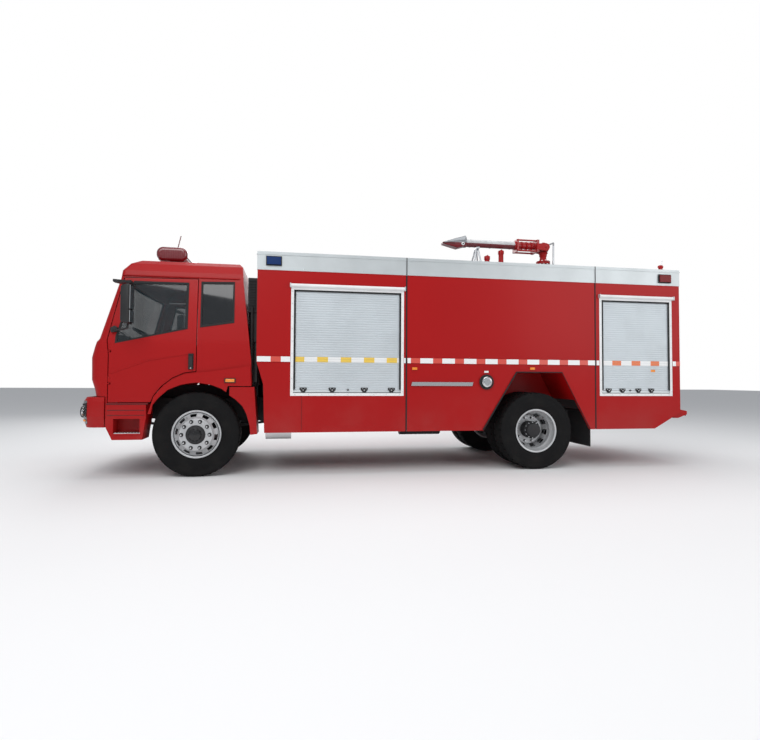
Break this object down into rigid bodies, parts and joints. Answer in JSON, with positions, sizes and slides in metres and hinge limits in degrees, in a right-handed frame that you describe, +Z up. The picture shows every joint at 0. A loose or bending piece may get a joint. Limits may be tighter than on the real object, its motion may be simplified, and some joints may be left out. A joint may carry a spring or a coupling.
{
  "type": "fire rescue truck",
  "caption": "Forward-control fire rescue truck with roller-shutter lockers, opening doors, steered wheels and an aiming water gun on the roof.",
  "frame": {"origin": "on the ground at the middle of the truck's length and width", "axes": "+X forward, +Y to the driver's left, +Z up"},
  "size_m": [8.2128, 3.12, 3.53],
  "materials": {
    "frame_black": "satin",
    "cab_red": "gloss",
    "body_red": "gloss",
    "silver_paint": "satin",
    "shutter_silver": "satin",
    "wheel_silver": "satin",
    "tyre": "matte",
    "glass": "polished",
    "black_plastic": "matte",
    "lamp_lens": "gloss",
    "red_lens": "gloss",
    "interior_grey": "matte",
    "seat_cloth": "matte",
    "cast_metal": "matte",
    "spring_steel": "matte",
    "tank_metal": "satin",
    "rubber": "matte",
    "gun_red": "gloss",
    "gun_metal": "satin",
    "deck_metal": "satin"
  },
  "bodies": {
    "chassis": {"air_intake": "black_plastic", "air_tanks": "frame_black", "body_coping": "silver_paint", "body_front": "body_red", "body_lamps": "red_lens", "body_middle": "body_red", "body_rear": "body_red", "cab_fenders": "cab_red", "cab_shell": "cab_red", "cab_steps": "cab_red", "chassis_frame": "frame_black", "dashboard": "interior_grey", "driveline": "cast_metal", "filler_caps": "gun_metal", "front_axle": "cast_metal", "front_bumper": "cab_red", "front_mudguards": "cab_red", "front_panel": "cab_red", "gun_rest": "gun_metal", "gun_riser": "gun_red", "headlamps": "lamp_lens", "leaf_springs": "spring_steel", "light_bar": "red_lens", "mudflaps": "rubber", "quarter_glass": "glass", "rear_axle": "cast_metal", "rear_bumper": "body_red", "rear_ladder": "gun_metal", "roof_deck": "deck_metal", "seats": "seat_cloth", "shutter_frames": "silver_paint", "side_tanks": "tank_metal", "steering_wheel": "black_plastic", "tank_vents": "gun_red", "windscreen": "glass"},
    "knuckle_left": {"knuckle_left": "cast_metal"},
    "knuckle_right": {"knuckle_right": "cast_metal"},
    "tie_rod": {"tie_rod": "cast_metal"},
    "wheel_front_left": {"front_wheel_left": "wheel_silver", "front_tyre_left": "tyre"},
    "wheel_front_right": {"front_wheel_right": "wheel_silver", "front_tyre_right": "tyre"},
    "wheel_rear_left": {"rear_wheels_left": "wheel_silver", "rear_tyres_left": "tyre"},
    "wheel_rear_right": {"rear_wheels_right": "wheel_silver", "rear_tyres_right": "tyre"},
    "door_left": {"door_left": "cab_red", "door_glass_left": "glass", "mirror_left": "black_plastic"},
    "door_right": {"door_right": "cab_red", "door_glass_right": "glass", "mirror_right": "black_plastic"},
    "shutter_front_left": {"shutter_front_left": "shutter_silver"},
    "shutter_front_right": {"shutter_front_right": "shutter_silver"},
    "shutter_rear_left": {"shutter_rear_left": "shutter_silver"},
    "shutter_rear_right": {"shutter_rear_right": "shutter_silver"},
    "shutter_back": {"shutter_back": "shutter_silver"},
    "gun_turret": {"gun_turret": "gun_metal"},
    "gun_barrel": {"gun_barrel": "gun_metal"}
  },
  "joints": [
    {"name": "steer_left", "type": "hinge", "parent": "chassis", "child": "knuckle_left", "pos_m": [2.7425, 0.85, 0.528], "axis": [0, 0, 1], "range_deg": [-32, 32]},
    {"name": "steer_right", "type": "hinge", "parent": "chassis", "child": "knuckle_right", "pos_m": [2.7425, -0.85, 0.528], "axis": [0, 0, 1], "range_deg": [-32, 32]},
    {"name": "tie_rod_pivot", "type": "hinge", "parent": "knuckle_left", "child": "tie_rod", "pos_m": [2.5025, 0.85, 0.387], "axis": [0, 0, 1], "range_deg": [-32, 32]},
    {"name": "front_wheel_left_spin", "type": "hinge", "parent": "knuckle_left", "child": "wheel_front_left", "pos_m": [2.7425, 1.03, 0.528], "axis": [0, 1, 0], "continuous": true},
    {"name": "front_wheel_right_spin", "type": "hinge", "parent": "knuckle_right", "child": "wheel_front_right", "pos_m": [2.7425, -1.03, 0.528], "axis": [0, 1, 0], "continuous": true},
    {"name": "rear_wheels_left_spin", "type": "hinge", "parent": "chassis", "child": "wheel_rear_left", "pos_m": [-1.7575, 0.915, 0.528], "axis": [0, 1, 0], "continuous": true},
    {"name": "rear_wheels_right_spin", "type": "hinge", "parent": "chassis", "child": "wheel_rear_right", "pos_m": [-1.7575, -0.915, 0.528], "axis": [0, 1, 0], "continuous": true},
    {"name": "door_left_hinge", "type": "hinge", "parent": "chassis", "child": "door_left", "pos_m": [3.7525, 1.205, 1.6], "axis": [0, 0, -1], "range_deg": [0, 72]},
    {"name": "door_right_hinge", "type": "hinge", "parent": "chassis", "child": "door_right", "pos_m": [3.7525, -1.205, 1.6], "axis": [0, 0, 1], "range_deg": [0, 72]},
    {"name": "gun_turn", "type": "hinge", "parent": "chassis", "child": "gun_turret", "pos_m": [-2.4795, 0, 3.16], "axis": [0, 0, 1], "range_deg": [-170, 170]},
    {"name": "gun_raise", "type": "hinge", "parent": "gun_turret", "child": "gun_barrel", "pos_m": [-2.4795, 0, 3.4], "axis": [0, -1, 0], "range_deg": [0, 70]},
    {"name": "shutter_front_left_lift", "type": "slide", "parent": "chassis", "child": "shutter_front_left", "axis": [0, 0, 1], "range_m": [0, 1.2], "deforming": ["shutter_front_left"]},
    {"name": "shutter_front_right_lift", "type": "slide", "parent": "chassis", "child": "shutter_front_right", "axis": [0, 0, 1], "range_m": [0, 1.2], "deforming": ["shutter_front_right"]},
    {"name": "shutter_rear_left_lift", "type": "slide", "parent": "chassis", "child": "shutter_rear_left", "axis": [0, 0, 1], "range_m": [0, 1.2], "deforming": ["shutter_rear_left"]},
    {"name": "shutter_rear_right_lift", "type": "slide", "parent": "chassis", "child": "shutter_rear_right", "axis": [0, 0, 1], "range_m": [0, 1.2], "deforming": ["shutter_rear_right"]},
    {"name": "shutter_back_lift", "type": "slide", "parent": "chassis", "child": "shutter_back", "axis": [0, 0, 1], "range_m": [0, 1.2], "deforming": ["shutter_back"]}
  ],
  "couplings": [
    {"joint": "steer_right", "follows": "steer_left", "ratio": 1},
    {"joint": "tie_rod_pivot", "follows": "steer_left", "ratio": -1}
  ]
}
